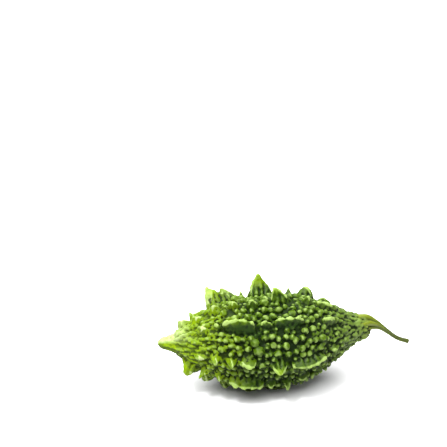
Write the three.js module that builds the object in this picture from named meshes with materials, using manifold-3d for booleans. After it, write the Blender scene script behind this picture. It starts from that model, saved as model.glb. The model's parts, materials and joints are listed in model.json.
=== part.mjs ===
// A bitter gourd as picked: one warty, spindle-shaped fruit lying on its belly, and its short stem.
// Millimetres, +Z up. The fruit lies along X, with its blossom tip at -X and its stem at +X.
// The origin is on the table, in the middle of the whole object's length and width.
// A station is a distance from the blossom tip along X. A roll angle is 0 on the -Y side and 90 on top.

import * as THREE from "three";
import { mergeVertices } from "three/addons/utils/BufferGeometryUtils.js";
import Module from "manifold-3d";

// Driving sizes of the fruit
const BODY_LENGTH = 104;
const BELLY_STATION = 55; // where the fruit is fattest
const BELLY_HEIGHT = 23.3; // the fruit's middle line above the table, at the belly
const BOW_RISE = 3.6; // how far the two ends rise above the belly
const BOW_REACH = 50;
const ROW_SWELL = 0.9; // the skin swells this much under each row of crests
const ROW_SWELL_WIDTH = 7; // degrees

// Radius of the skin between the warts, as [station, radius]
const SKIN = [
  [0, 1.1],
  [3, 2.8],
  [6, 3.7],
  [10, 5.3],
  [13, 7],
  [16, 8.9],
  [20, 11.6],
  [25, 14.8],
  [31, 17.3],
  [37, 19.1],
  [43, 20],
  [52, 20.5],
  [61, 20.5],
  [67, 19.9],
  [74, 18.2],
  [80, 15.7],
  [86, 12.7],
  [92, 9.4],
  [98, 6.2],
  [104, 4.3],
];

// Height of the round warts, as [station, height]
const WART_HEIGHT = [
  [0, 0.2],
  [8, 0.7],
  [14, 1.5],
  [24, 2.6],
  [40, 2.9],
  [60, 2.9],
  [72, 2.4],
  [84, 1.7],
  [94, 1.1],
  [104, 0.6],
];

// Warts: round ones stand in columns between the rows of crests, and fill the rows' gaps
const WARTS_FROM = 13;
const WARTS_TO = 101;
const WART_PITCH = 4.2; // from one wart to the next at the belly
const SMALLEST_PITCH = 3; // and where the fruit is thin
const WART_SEED = 7;

// The ten rows of crests. Each row has its roll angle and its crests, as
// [station of the middle, length, height, where its peak is from 0 to 1, lean of the peak along X,
// degrees aside from its row].
const ROWS = [
  {
    angle: 122,
    crests: [
      [14.4, 5.4, 4.4, 0.25, 0, 0],
      [19.4, 3.6, 4.6, 0.4, 0.2, -3],
      [29.6, 9, 10.4, 0.2, 2.8, 0],
      [37.4, 8.6, 6.4, 0.25, 0, 2],
      [43.6, 2.6, 4.4, 0.5, 0, 0],
      [53, 12.4, 12.4, 0.38, 1, 0],
      [61.6, 3.6, 4, 0.5, 0, 0],
      [66.6, 3.4, 4.6, 0.5, 0, -3],
      [74.8, 8, 6, 0.5, 0, 0],
      [84, 6, 2.8, 0.5, 0, 0],
    ],
  },
  {
    angle: 85,
    crests: [
      [20, 5, 3.6, 0.5, -0.5, 0],
      [28.5, 6, 4.4, 0.5, 0, 3],
      [37.5, 5, 4, 0.5, 0, 0],
      [46.4, 5.6, 4.8, 0.4, 0, -3],
      [61, 9, 8.4, 0.18, -0.6, 4],
      [73.2, 5, 4.4, 0.5, 0, 0],
      [82.4, 9, 3, 0.5, 0, -3],
    ],
  },
  {
    angle: 52,
    crests: [
      [21.5, 5, 3.4, 0.5, -0.5, 0],
      [28, 3.6, 3.8, 0.5, 0, 0],
      [37, 13.2, 5, 0.5, 0, 0],
      [49.8, 6.2, 3.8, 0.5, 0, 2],
      [62, 13.2, 5, 0.6, 0, 0],
      [82.8, 7.2, 2.8, 0.5, 0, 0],
    ],
  },
  {
    angle: -1,
    crests: [
      [19.5, 5, 3.2, 0.5, -0.5, 0],
      [26, 4, 6, 0.5, 1, 1],
      [33.2, 4.6, 6.6, 0.5, 1, -1],
      [40.6, 8.4, 6, 0.7, 0, -1],
      [56, 8.6, 9.4, 0.4, 0, -9],
      [70.2, 15.4, 5.2, 0.5, 0, 3],
      [84.4, 5, 2.8, 0.5, 0, 0],
    ],
  },
  {
    angle: -35,
    crests: [
      [16.4, 8.6, 10, 0.3, 2.4, -20],
      [22.6, 3.4, 6, 0.4, -1, -2],
      [28.4, 4.4, 4.6, 0.5, 0, 3],
      [41, 15, 5.6, 0.4, 0, -4],
      [52.6, 5, 4.4, 0.5, 0, 0],
      [60.6, 4, 6.4, 0.5, 0, 0],
      [68.4, 6.6, 4.4, 0.5, 0, 2],
      [78, 6, 3.4, 0.5, 0, 0],
      [86, 4.6, 2.4, 0.5, 0, 0],
    ],
  },
  {
    angle: -72,
    crests: [
      [24.5, 5.6, 5, 0.5, -0.5, 3],
      [33, 6.6, 4.6, 0.5, 0, 0],
      [44.5, 10, 4.6, 0.5, 0, 0],
      [58, 11, 4.6, 0.5, 0, 0],
      [69.6, 6.4, 4.4, 0.5, 0, 0],
      [79, 6, 3.4, 0.5, 0, 0],
    ],
  },
  {
    angle: -106,
    crests: [
      [21, 5.6, 4.4, 0.5, -0.5, 0],
      [30.4, 7, 4.6, 0.5, 0, 0],
      [39.6, 6, 4.4, 0.5, 0, 0],
      [51.5, 12, 4.8, 0.5, 0, 0],
      [65.4, 9, 4.6, 0.5, 0, 0],
      [76.4, 6, 3.6, 0.5, 0, 0],
    ],
  },
  { angle: -140, crests: crestsByDraw(32, 6.6) },
  { angle: -173, crests: crestsByDraw(33, 7.4) },
  { angle: 155, crests: crestsByDraw(34, 8.4) },
];

// Driving sizes of the stem and the socket that it grows from
const SOCKET_RADIUS = 2.7;
const SOCKET_DEPTH = 4;
const JOIN_GAP = 0.3;
const STEM_SIDES = 15;
const STEM_RIBS = 5;
const STEM_RIB_DEPTH = 0.09; // as a share of the radius

// The stem's middle line past the fruit, as [station, height above the table]
const STEM_ROUTE = [
  [107.6, 26.8],
  [110.8, 25.2],
  [115.4, 21.6],
  [120, 18.2],
  [126.2, 14.6],
];

// Radius along the stem, from its root in the socket to its cut end, as [share of its length, radius]
const STEM_RADIUS = [
  [0.165, 3.2],
  [0.19, 3.5],
  [0.26, 3],
  [0.34, 2.1],
  [0.43, 1.4],
  [0.56, 1.1],
  [0.75, 1],
  [0.9, 1.05],
  [1, 1.25],
];

const SKIN_CURVE = smoothCurve(SKIN);
const WART_CURVE = smoothCurve(WART_HEIGHT);

// A number from 0 to 1 that an index and a seed always give alike.
function draw(index, seed) {
  const x = Math.sin(index * 12.9898 + seed * 78.233) * 43758.5453;
  return x - Math.floor(x);
}

// The crests of a row that is given no list: teeth and longer fins in turn, with gaps.
function crestsByDraw(seed, tallest) {
  const crests = [];
  let station = 17 + 4 * draw(0, seed);
  for (let i = 1; station < 86; i++) {
    const length = (draw(i, seed + 1) < 0.5 ? 4.5 : 8) + 4 * draw(i, seed + 2);
    const middle = station + length / 2;
    const fullness = Math.min(1, middle / 26, (100 - middle) / 36);
    const height = tallest * fullness * (0.6 + 0.4 * draw(i, seed + 3));
    crests.push([middle, length, height, 0.3 + 0.4 * draw(i, seed + 4), 0, 6 * draw(i, seed + 6) - 3]);
    station += length + 0.5 + 3.5 * draw(i, seed + 5);
  }
  return crests;
}

// A smooth function through [place, value] pairs.
function smoothCurve(pairs) {
  const slopes = pairs.map((pair, i) => {
    const before = pairs[Math.max(0, i - 1)];
    const after = pairs[Math.min(pairs.length - 1, i + 1)];
    return (after[1] - before[1]) / (after[0] - before[0]);
  });
  return (place) => {
    const last = pairs.length - 2;
    let i = 0;
    while (i < last && place > pairs[i + 1][0]) i++;
    const width = pairs[i + 1][0] - pairs[i][0];
    const t = Math.min(1, Math.max(0, (place - pairs[i][0]) / width));
    const rise = 3 * t * t - 2 * t * t * t;
    return (
      pairs[i][1] * (1 - rise) +
      pairs[i + 1][1] * rise +
      slopes[i] * width * (t * t * t - 2 * t * t + t) +
      slopes[i + 1] * width * (t * t * t - t * t)
    );
  };
}

const radians = (degrees) => (degrees * Math.PI) / 180;

// The shorter way round from one roll angle to another, in degrees.
const turnBetween = (a, b) => ((((b - a) % 360) + 540) % 360) - 180;

// Height of the fruit's middle line above the table.
function middleHeight(station) {
  const share = (station - BELLY_STATION) / BOW_REACH;
  return BELLY_HEIGHT + BOW_RISE * (Math.pow(share * share + 0.01, 0.65) - Math.pow(0.01, 0.65));
}

// Radius of the skin, with its swellings under the rows of crests.
function skinRadius(station, angle) {
  const radius = SKIN_CURVE(station);
  const swell = ROWS.reduce((sum, row) => {
    const away = turnBetween(row.angle, angle) / ROW_SWELL_WIDTH;
    return sum + Math.exp(-away * away);
  }, 0);
  return radius * (1 + (ROW_SWELL * swell) / (radius + 6));
}

// The point that stands a height above the skin, with its peak leaning along X.
function pointAbove(station, angle, height, lean = 0) {
  const slope = (SKIN_CURVE(station + 0.5) - SKIN_CURVE(Math.max(0, station - 0.5))) / 1;
  const out = 1 / Math.hypot(1, slope);
  const at = station - slope * out * height + lean;
  const radius = skinRadius(station, angle) + out * height;
  const roll = radians(angle);
  return new THREE.Vector3(
    at - BELLY_STATION,
    -radius * Math.cos(roll),
    middleHeight(at) + radius * Math.sin(roll),
  );
}

// The fruit's surface points. Each has a station, a roll angle and a place in space, and a point
// too near one that was there first is left out.
class SurfacePoints {
  constructor() {
    this.list = [];
  }

  add(station, angle, height, clearance, lean = 0) {
    const onSkin = pointAbove(station, angle, 0);
    if (this.list.some((p) => p.onSkin.distanceTo(onSkin) < clearance)) return;
    const place = pointAbove(station, angle, height, lean);
    this.list.push({ station, angle: ((angle % 360) + 360) % 360, onSkin, place });
  }

  // A point by its distance from a feature's middle: along the fruit, and round it.
  addNear(station, angle, along, round, height, clearance, lean = 0) {
    const turn = (round / SKIN_CURVE(station)) * (180 / Math.PI);
    this.add(station + along, angle + turn, height, clearance, lean);
  }
}

// How high a crest stands at a share of its length, as a share of its full height.
function crestShape(share, peak, length, height) {
  const rise = share < peak ? share / peak : (1 - share) / (1 - peak);
  return Math.pow(rise, THREE.MathUtils.clamp((0.75 * height) / length, 0.3, 0.85));
}

const crestWidth = (height) => 3.2 + 0.22 * height;

// From one wart to the next, at a station.
function wartPitch(station) {
  const narrow = Math.sqrt(SKIN_CURVE(station) / SKIN_CURVE(BELLY_STATION));
  return Math.max(SMALLEST_PITCH, WART_PITCH * narrow);
}

// The shares of a crest's length at which its top line has a point.
function crestSteps(length) {
  const steps = Math.max(2, Math.round(length / 2.2));
  return Array.from({ length: steps }, (unused, i) => (i + 0.5) / steps);
}

// A crest: a sharp top line between two flanks.
function addCrest(points, { angle, middle, length, height, peak, lean }) {
  const shares = crestSteps(length);
  const nearest = shares.reduce((a, b) => (Math.abs(b - peak) < Math.abs(a - peak) ? b : a));
  for (const step of shares) {
    const share = step === nearest ? peak : step;
    const along = (share - 0.5) * length;
    const tall = height * crestShape(share, peak, length, height);
    points.addNear(middle, angle, along, 0, tall, 0.7, (lean * tall) / height);
    for (const side of [-1, 1]) {
      const off = side * 0.25 * crestWidth(height);
      points.addNear(middle, angle, along, off, 0.62 * tall, 0.7, (0.5 * lean * tall) / height);
    }
  }
}

// A round wart: a top and a shoulder ring.
function addWart(points, { angle, station, radius, height, turn }) {
  points.addNear(station, angle, 0, 0, height, 0.7);
  const sides = 6;
  for (let i = 0; i < sides; i++) {
    const way = turn + (i * 2 * Math.PI) / sides;
    const along = 0.62 * radius * Math.cos(way);
    const round = 0.62 * radius * Math.sin(way);
    points.addNear(station, angle, along, round, 0.76 * height, 0.7);
  }
}

// All the crests, each with the roll angle of its row.
function allCrests() {
  return ROWS.flatMap((row) =>
    row.crests.map(([middle, length, height, peak, lean, aside]) => ({
      angle: row.angle + aside,
      middle,
      length,
      height,
      peak,
      lean,
    })),
  );
}

// The places along a crest's foot, in space.
function crestFoot({ angle, middle, length, height }) {
  const places = crestSteps(length).map((share) => pointAbove(middle + (share - 0.5) * length, angle, 0));
  return { places, reach: 0.5 * crestWidth(height) };
}

// All the round warts: they stand in columns in the rows of crests and between them, wherever no
// crest is in the way.
function allWarts(crests) {
  const warts = [];
  const feet = crests.map(crestFoot);
  const isClear = ({ station, angle, radius }) => {
    const place = pointAbove(station, angle, 0);
    return feet.every(({ places, reach }) =>
      places.every((foot) => foot.distanceTo(place) > reach + 0.6 * radius),
    );
  };
  const addColumn = (angle, columnSeed, fits) => {
    let station = WARTS_FROM + WART_PITCH * draw(columnSeed, WART_SEED);
    for (let i = 0; station < WARTS_TO; i++) {
      const key = columnSeed * 100 + i;
      const pitch = wartPitch(station) * (0.9 + 0.2 * draw(key, WART_SEED + 1));
      const wart = {
        station,
        angle: angle + 3 * (draw(key, WART_SEED + 4) - 0.5),
        radius: 0.5 * wartPitch(station) * (0.9 + 0.2 * draw(key, WART_SEED + 2)),
        height: WART_CURVE(station) * (0.75 + 0.5 * draw(key, WART_SEED + 3)),
        turn: Math.PI * draw(key, WART_SEED + 5),
      };
      if (fits(station) && isClear(wart)) warts.push(wart);
      station += pitch;
    }
  };
  ROWS.forEach((row, k) => {
    addColumn(row.angle, 10 * k, () => true);
    const gap = turnBetween(row.angle, ROWS[(k + 1) % ROWS.length].angle);
    const columnsAt = (station) =>
      Math.round((Math.abs(radians(gap)) * SKIN_CURVE(station)) / wartPitch(station) - 1);
    for (let count = 1; count <= 3; count++) {
      for (let i = 1; i <= count; i++) {
        const fits = (station) => Math.min(3, columnsAt(station)) === count;
        addColumn(row.angle + (gap * i) / (count + 1), 10 * k + 3 * count + i, fits);
      }
    }
  });
  return warts;
}

// The valleys run midway between neighbours. Neighbours are found by the triangles between the
// tops of all the crests and warts.
function addValleys(points, crests, warts) {
  const tops = [];
  crests.forEach((crest, feature) => {
    for (const share of crestSteps(crest.length)) {
      const station = crest.middle + (share - 0.5) * crest.length;
      tops.push({ station, angle: crest.angle, reach: 0.5 * crestWidth(crest.height), feature });
    }
  });
  warts.forEach((wart, i) => {
    const { station, angle, radius } = wart;
    tops.push({ station, angle, reach: radius, feature: crests.length + i });
  });
  const between = (corners, clearance) => {
    const weights = corners.map((c) => 1 / tops[c].reach);
    const total = weights.reduce((sum, w) => sum + w, 0);
    const first = tops[corners[0]].angle;
    let station = 0;
    let turn = 0;
    corners.forEach((c, i) => {
      station += (weights[i] / total) * tops[c].station;
      turn += (weights[i] / total) * turnBetween(first, tops[c].angle);
    });
    points.add(station, first + turn, 0, clearance);
  };
  const triangles = surfaceTriangles(tops, [], []);
  for (const corners of triangles) {
    if (new Set(corners.map((c) => tops[c].feature)).size === 3) between(corners, 1.1);
  }
  for (const corners of triangles) {
    corners.forEach((a, i) => {
      const b = corners[(i + 1) % 3];
      if (tops[a].feature !== tops[b].feature) between([a, b], 1.1);
    });
  }
}

// All the fruit's surface points, from the tip ring to the rim ring, crests first.
function fruitPoints() {
  const points = new SurfacePoints();
  const tipRing = ringPoints(points, 0.5, 8);
  const rimRing = ringPoints(points, BODY_LENGTH, 20);
  const crests = allCrests();
  const warts = allWarts(crests);
  for (const crest of crests) addCrest(points, crest);
  for (const wart of warts) addWart(points, wart);
  addValleys(points, crests, warts);
  addTipRibs(points);
  fillBareSkin(points);
  return { list: points.list, tipRing, rimRing };
}

// An even ring of points on the skin, which nothing else moves.
function ringPoints(points, station, count) {
  const first = points.list.length;
  for (let i = 0; i < count; i++) points.add(station, (i + 0.25) * (360 / count), 0, 0);
  return Array.from({ length: count }, (unused, i) => first + i);
}

// The low ribs that run from the rows of crests towards the blossom tip.
function addTipRibs(points) {
  ROWS.forEach((row, k) => {
    const gap = turnBetween(row.angle, ROWS[(k + 1) % ROWS.length].angle);
    for (const station of [7, 9.5, 12, 14.5]) {
      points.add(station, row.angle, 0.12 * (station - 4), 0.9);
      points.add(station, row.angle + gap * 0.5, 0, 0.9);
    }
  });
}

// Skin points where no wart, crest or rib is near.
function fillBareSkin(points) {
  const step = 2.4;
  for (let station = 2; station < BODY_LENGTH - 1; station += step) {
    const count = Math.max(6, Math.round((2 * Math.PI * SKIN_CURVE(station)) / step));
    for (let i = 0; i < count; i++) {
      const offset = draw(i, station) + i;
      points.add(station + draw(i, station + 0.5), (offset * 360) / count, 0, 2.2);
    }
  }
}

// Delaunay triangles of [x, y] pairs, each counter-clockwise, by adding the points from left to right.
function delaunay(pairs) {
  const far = 400;
  const all = [...pairs, [-far, -far], [far, -far], [0, far]];
  const outer = pairs.length;
  const order = pairs.map((pair, i) => i).sort((a, b) => all[a][0] - all[b][0]);
  const circleOf = (a, b, c) => {
    const [ax, ay] = all[a];
    const [bx, by] = [all[b][0] - ax, all[b][1] - ay];
    const [cx, cy] = [all[c][0] - ax, all[c][1] - ay];
    const twice = 2 * (bx * cy - by * cx);
    const b2 = bx * bx + by * by;
    const c2 = cx * cx + cy * cy;
    const x = (cy * b2 - by * c2) / twice;
    const y = (bx * c2 - cx * b2) / twice;
    return { corners: twice > 0 ? [a, b, c] : [a, c, b], x: ax + x, y: ay + y, reach: x * x + y * y };
  };
  let open = [circleOf(outer, outer + 1, outer + 2)];
  const done = [];
  for (const p of order) {
    const [px, py] = all[p];
    const edges = new Map();
    open = open.filter((circle) => {
      const dx = px - circle.x;
      const dy = py - circle.y;
      if (dx > 0 && dx * dx > circle.reach) {
        done.push(circle);
        return false;
      }
      if (dx * dx + dy * dy > circle.reach) return true;
      circle.corners.forEach((from, i) => {
        const to = circle.corners[(i + 1) % 3];
        const key = Math.min(from, to) + "_" + Math.max(from, to);
        edges.set(key, edges.has(key) ? null : [from, to]);
      });
      return false;
    });
    for (const edge of edges.values()) {
      if (edge) open.push(circleOf(edge[0], edge[1], p));
    }
  }
  return [...done, ...open].map((circle) => circle.corners).filter((corners) => corners.every((i) => i < outer));
}

// The triangles between the surface points. The skin is unrolled to a strip on which circles stay
// circles, and the strip is carried on past both sides of its seam, so that the seam closes.
function surfaceTriangles(list, tipRing, rimRing) {
  const across = (station) => {
    let sum = 0;
    const steps = 200;
    for (let i = 0; i < steps; i++) {
      sum += station / steps / SKIN_CURVE(((i + 0.5) * station) / steps);
    }
    return sum;
  };
  const overlap = 90;
  const pairs = [];
  const wholeTurn = (angle) => ((angle % 360) + 360) % 360;
  const owner = [];
  const bulge = (angle) => 1e-3 * (1 - Math.pow((angle - 180) / 300, 2));
  list.forEach((p, i) => {
    const x = across(p.station);
    const outwards = tipRing.includes(i) ? -1 : rimRing.includes(i) ? 1 : 0;
    const nudge = outwards ? 0 : 1e-3; // so that no four points lie on one circle
    for (const turn of [-360, 0, 360]) {
      const angle = wholeTurn(p.angle) + turn;
      if (angle < -overlap || angle >= 360 + overlap) continue;
      pairs.push([x + nudge * draw(i, 41) + outwards * bulge(angle), radians(angle) + nudge * draw(i, 42)]);
      owner.push(i);
    }
  });
  const onOneRing = (corners) => [tipRing, rimRing].some((ring) => corners.every((c) => ring.includes(owner[c])));
  return delaunay(pairs)
    .filter((corners) => !onOneRing(corners))
    .filter((corners) => {
      const middle = corners.reduce((sum, c) => sum + pairs[c][1], 0) / 3;
      return middle >= 0 && middle < 2 * Math.PI;
    })
    .map((corners) => corners.map((c) => owner[c]));
}

// The fruit's closed surface: the warty skin, the rounded tip and the socket for the stem.
function fruitGeometry() {
  const { list, tipRing, rimRing } = fruitPoints();
  const places = list.map((p) => p.place);
  const faces = surfaceTriangles(list, tipRing, rimRing);

  const closeRing = (ring, centre, facing) => {
    const hub = places.push(centre) - 1;
    ring.forEach((from, i) => {
      const to = ring[(i + 1) % ring.length];
      faces.push(facing < 0 ? [from, to, hub] : [to, from, hub]);
    });
  };
  closeRing(tipRing, new THREE.Vector3(-BELLY_STATION, 0, middleHeight(0)), -1);

  const socketRing = (station) =>
    rimRing.map((i) => {
      const roll = radians(list[i].angle);
      return places.push(
        new THREE.Vector3(
          station - BELLY_STATION,
          -SOCKET_RADIUS * Math.cos(roll),
          middleHeight(station) + SOCKET_RADIUS * Math.sin(roll),
        ),
      ) - 1;
    });
  const mouth = socketRing(BODY_LENGTH);
  const bottom = socketRing(BODY_LENGTH - SOCKET_DEPTH);
  const joinRings = (near, far) =>
    near.forEach((a, i) => {
      const next = (i + 1) % near.length;
      faces.push([a, far[i], far[next]], [a, far[next], near[next]]);
    });
  joinRings(rimRing, mouth);
  joinRings(mouth, bottom);
  const floor = BODY_LENGTH - SOCKET_DEPTH;
  closeRing(bottom, new THREE.Vector3(floor - BELLY_STATION, 0, middleHeight(floor)), 1);

  const geometry = new THREE.BufferGeometry();
  geometry.setAttribute("position", new THREE.Float32BufferAttribute(places.flatMap((p) => p.toArray()), 3));
  geometry.setIndex(faces.flat());
  return geometry;
}

// A three.js geometry as a solid, and back.
const wasm = await Module();
wasm.setup();

function solidOf(geometry) {
  const bare = geometry.clone();
  bare.deleteAttribute("normal");
  bare.deleteAttribute("uv");
  const merged = mergeVertices(bare, 1e-3);
  return new wasm.Manifold(
    new wasm.Mesh({
      numProp: 3,
      vertProperties: merged.attributes.position.array,
      triVerts: new Uint32Array(merged.index.array),
    }),
  );
}

function geometryOf(solid) {
  const mesh = solid.getMesh();
  const geometry = new THREE.BufferGeometry();
  geometry.setAttribute("position", new THREE.BufferAttribute(mesh.vertProperties, 3));
  geometry.setIndex(new THREE.BufferAttribute(mesh.triVerts, 1));
  geometry.computeVertexNormals();
  return geometry;
}

// The warts and crests under the belly are pressed flat where the fruit lies on the table.
function pressedFlat(geometry) {
  const table = new THREE.BoxGeometry(3 * BODY_LENGTH, 3 * BODY_LENGTH, 20);
  table.translate(0, 0, -10);
  return geometryOf(solidOf(geometry).subtract(solidOf(table)));
}

// The stem: a ribbed rod, turned about its axis and then bent along its route.
function stemGeometry() {
  const rootStation = BODY_LENGTH - SOCKET_DEPTH + JOIN_GAP;
  const inSocket = [rootStation, 0.5 * (rootStation + BODY_LENGTH), BODY_LENGTH + JOIN_GAP];
  const route = [...inSocket.map((station) => [station, middleHeight(station)]), ...STEM_ROUTE];
  const curve = new THREE.CatmullRomCurve3(
    route.map(([station, height]) => new THREE.Vector3(station - BELLY_STATION, 0, height)),
  );
  const length = curve.getLength();
  const rootRadius = SOCKET_RADIUS - JOIN_GAP;
  const collarShare = (SOCKET_DEPTH + JOIN_GAP) / length;
  const profile = [
    [0, 0],
    [0, rootRadius],
    [collarShare, rootRadius],
    ...STEM_RADIUS,
    [1, 0],
  ];
  const rod = new THREE.LatheGeometry(
    profile.map(([share, radius]) => new THREE.Vector2(radius, share)),
    STEM_SIDES,
  );
  const place = rod.attributes.position;
  const side = new THREE.Vector3(0, 1, 0);
  for (let i = 0; i < place.count; i++) {
    const share = THREE.MathUtils.clamp(place.getY(i), 0, 1);
    const roll = Math.atan2(place.getX(i), place.getZ(i));
    const inSocketNow = share <= collarShare + 1e-6;
    const ribs = inSocketNow ? 1 : 1 + STEM_RIB_DEPTH * Math.cos(STEM_RIBS * roll);
    const radius = Math.hypot(place.getX(i), place.getZ(i)) * ribs;
    const ahead = inSocketNow ? new THREE.Vector3(1, 0, 0) : curve.getTangentAt(share);
    const down = new THREE.Vector3().crossVectors(side, ahead);
    const point = curve
      .getPointAt(share)
      .addScaledVector(side, radius * Math.sin(roll))
      .addScaledVector(down, radius * Math.cos(roll));
    place.setXYZ(i, point.x, point.y, point.z);
  }
  return geometryOf(solidOf(rod));
}

// The two pieces
const skinGreen = new THREE.MeshStandardMaterial({ color: 0x5d8a2c, roughness: 0.45, metalness: 0 });
const stemGreen = new THREE.MeshStandardMaterial({ color: 0x7d8a2e, roughness: 0.6, metalness: 0 });

const fruit = new THREE.Mesh(pressedFlat(fruitGeometry()), skinGreen);
fruit.name = "fruit";

const stem = new THREE.Mesh(stemGeometry(), stemGreen);
stem.name = "stem";

const gourd = new THREE.Group();
gourd.add(fruit, stem);

const extent = new THREE.Box3().setFromObject(gourd);
const middle = extent.getCenter(new THREE.Vector3());
for (const mesh of gourd.children) mesh.geometry.translate(-middle.x, -middle.y, -extent.min.z);

export default gourd;
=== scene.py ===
import json
import math

import bpy
import numpy as np
from mathutils import Matrix, Vector

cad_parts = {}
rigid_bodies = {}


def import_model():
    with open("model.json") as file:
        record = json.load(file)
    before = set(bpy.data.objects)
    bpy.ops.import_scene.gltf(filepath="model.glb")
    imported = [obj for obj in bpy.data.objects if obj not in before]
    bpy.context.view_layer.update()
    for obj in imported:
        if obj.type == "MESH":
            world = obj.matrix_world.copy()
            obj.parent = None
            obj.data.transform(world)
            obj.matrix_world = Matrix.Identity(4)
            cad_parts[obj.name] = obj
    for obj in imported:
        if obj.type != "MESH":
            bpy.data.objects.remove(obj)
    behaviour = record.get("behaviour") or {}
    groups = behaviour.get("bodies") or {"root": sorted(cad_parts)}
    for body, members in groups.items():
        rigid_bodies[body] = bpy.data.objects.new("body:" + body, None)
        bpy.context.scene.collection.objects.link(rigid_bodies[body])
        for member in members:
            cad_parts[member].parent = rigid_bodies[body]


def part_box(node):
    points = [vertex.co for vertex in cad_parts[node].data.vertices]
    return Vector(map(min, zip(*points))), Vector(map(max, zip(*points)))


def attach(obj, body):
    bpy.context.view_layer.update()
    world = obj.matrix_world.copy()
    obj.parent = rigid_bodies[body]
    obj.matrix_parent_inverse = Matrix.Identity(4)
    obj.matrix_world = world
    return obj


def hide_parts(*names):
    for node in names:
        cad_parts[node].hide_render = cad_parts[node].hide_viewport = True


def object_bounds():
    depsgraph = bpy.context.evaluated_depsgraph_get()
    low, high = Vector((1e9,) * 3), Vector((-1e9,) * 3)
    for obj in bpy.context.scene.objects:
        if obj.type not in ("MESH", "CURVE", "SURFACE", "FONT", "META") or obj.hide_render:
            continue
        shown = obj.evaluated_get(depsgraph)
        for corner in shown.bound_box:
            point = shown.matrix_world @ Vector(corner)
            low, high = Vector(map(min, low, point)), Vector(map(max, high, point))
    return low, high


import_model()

CAD_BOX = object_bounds()

bl_info = {
    "name": "Bitter Gourd",
    "version": (1, 0, 0),
    "blender": (4, 5, 0),
    "location": "View3D > Sidebar > Gourd",
    "description": "Grows a bitter gourd's skin, crests, warts and stem, and sets a pale stage for it",
    "category": "Add Mesh",
}

MM = 0.001

# Where the fruit lies: its blossom tip, and the upright plane that its middle line is in.
TIP_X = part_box("fruit")[0][0] / MM
PLANE_Y = 0.5 * (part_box("stem")[0][1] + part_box("stem")[1][1]) / MM

# The flat underside is cut this far above the table, in metres.
TABLE_GAP = 0.00001

# Sizes of the fruit's body in millimetres, the same as its solid's. A station is a distance from
# the blossom tip. A roll angle is in degrees, 0 on the near side and 90 on top.
BODY_LENGTH = 104
BELLY_STATION = 55
BELLY_HEIGHT = 23.3
BOW_RISE = 3.6
BOW_REACH = 50
ROW_SWELL = 0.9
ROW_SWELL_WIDTH = 7

# Radius of the body along the fruit, as (station, radius)
SKIN = [
    (0, 1.1), (3, 2.8), (6, 3.7), (10, 5.3), (13, 7), (16, 8.9), (20, 11.6), (25, 14.8), (31, 17.3),
    (37, 19.1), (43, 20), (52, 20.5), (61, 20.5), (67, 19.9), (74, 18.2), (80, 15.7), (86, 12.7),
    (92, 9.4), (98, 6.2), (104, 4.3),
]

# From one wart to the next, at stations along the fruit
WART_PITCH = [
    (0, 2), (14, 2.25), (30, 2.75), (50, 3.3), (66, 3.05), (76, 2.5), (86, 2.05), (96, 1.7), (106, 1.5),
]

# The stem's middle line, as (station, height above the table)
STEM_ROUTE = [
    (98.5, 27.6), (101.5, 28.2), (104.5, 28.3), (107.6, 27.5), (110.8, 25.9), (115.4, 22.2), (120.6, 18),
    (126.2, 15.6),
]

# Radius along the stem, as (share of its length, radius)
STEM_RADIUS = [
    (0, 4.6), (0.09, 4.7), (0.18, 4), (0.26, 3), (0.34, 2.15), (0.42, 1.55), (0.52, 1.2), (0.64, 1.02),
    (0.8, 0.95), (0.95, 1), (1, 1.1),
]
STEM_RIBS = 5

# Stations between which a drawn row has its crests, and the warts stand
CRESTS_FROM, CRESTS_TO = 17, 86
WARTS_FROM, WARTS_TO = 9, 104.5

# How far the foot of a crest is sunk in the skin
CREST_SUNK = 1.2

# A crest that is longer than this many times its height has a nearly level edge.
LEVEL_CREST = 2.4

# A row that leans more than this has ledges: smooth flanks and painted shade on their faces.
LEDGE_TILT = 0.3

# The small beads between the warts: (radius as a share of the wart pitch there, places tried)
SMALL_BEADS = ((0.36, 1800), (0.26, 2600), (0.19, 3600))

# Uneven growth of the skin, in metres: (size of the swells, how far they move it)
UNEVEN_GROWTH = ((0.0026, 0.001), (0.001, 0.00045))

# A skin with fewer faces than this has gone wrong.
FEWEST_FACES = 5000

# The photo's frame in pixels, the scale there, and the pixel that the gourd's middle is at
PICTURE_SIDE = 447
PIXELS_PER_MM = 2.03
SEEN_AT = (285.3, 333.5)
SENSOR_SIDE = 36


def draw(index, seed):
    """A number from 0 to 1 that an index and a seed always give alike."""
    x = math.sin(index * 12.9898 + seed * 78.233) * 43758.5453
    return x - math.floor(x)


def crests_by_draw(seed, tallest):
    """The crests of a row on the far side: teeth and longer fins, with gaps."""
    crests = []
    station = CRESTS_FROM + 4 * draw(0, seed)
    i = 1
    while station < CRESTS_TO:
        length = (4.5 if draw(i, seed + 1) < 0.5 else 8) + 4 * draw(i, seed + 2)
        middle = station + length / 2
        fullness = min(1, middle / 26, (100 - middle) / 36)
        height = tallest * fullness * (0.6 + 0.4 * draw(i, seed + 3))
        aside = 6 * draw(i, seed + 6) - 3
        crests.append((middle, length, height, 0.3 + 0.4 * draw(i, seed + 4), 0, aside))
        station += length + 0.5 + 3.5 * draw(i, seed + 5)
        i += 1
    return crests


# How far the crests of a row lean round the fruit, as a share of their height: {row: lean}
ROW_TILT = {52: 0.5, 85: 0.15, -1: -0.15, -35: -0.1, -72: -0.1}

# Crests that run aslant of their row: {(row, station): degrees of roll for each millimetre}
ASLANT = {(52, 38.2): -0.6}

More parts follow.
